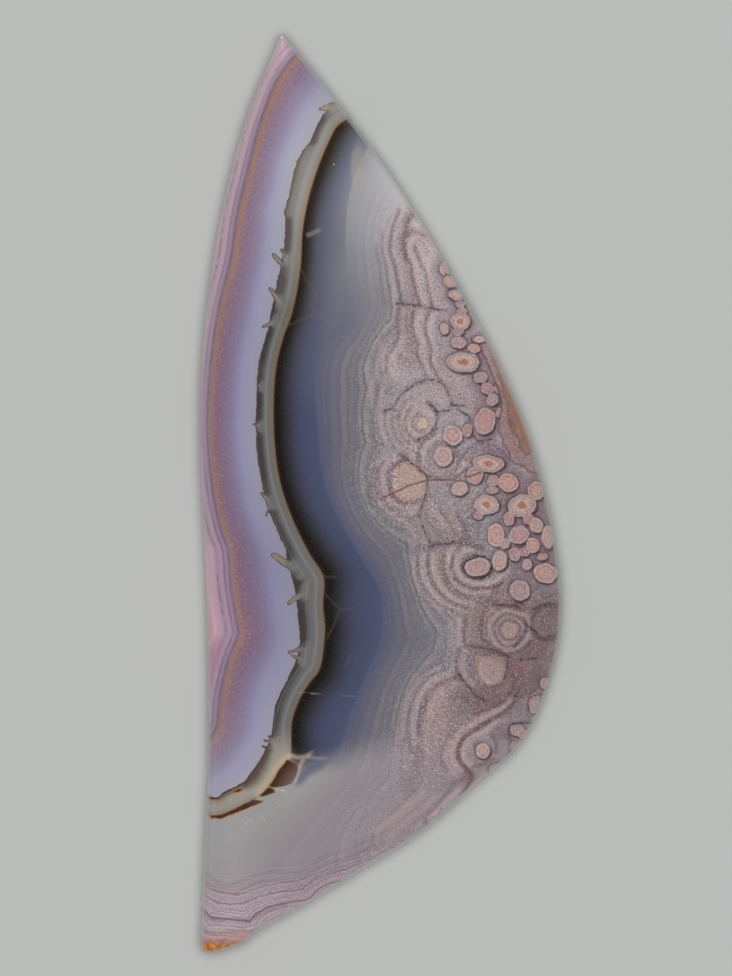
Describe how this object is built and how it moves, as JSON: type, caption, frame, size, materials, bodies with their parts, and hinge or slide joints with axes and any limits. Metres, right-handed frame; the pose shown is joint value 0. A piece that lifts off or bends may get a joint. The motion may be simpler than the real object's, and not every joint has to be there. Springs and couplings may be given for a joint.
{
  "type": "polished agate cabochon",
  "caption": "Freeform polished agate cabochon, long and pointed at one end, with a flat back, a plain girdle wall and a low domed face.",
  "frame": {"origin": "middle of the outline's box, on the flat back", "axes": "+Y along the stone towards its pointed end, +Z out of the polished face, +X towards the rounded side"},
  "size_m": [0.0198, 0.0503, 0.005],
  "materials": {
    "stone": "polished agate, banded lilac, grey and blue with pink-brown eyes"
  },
  "bodies": {
    "root": {"agate": "stone"}
  },
  "joints": []
}
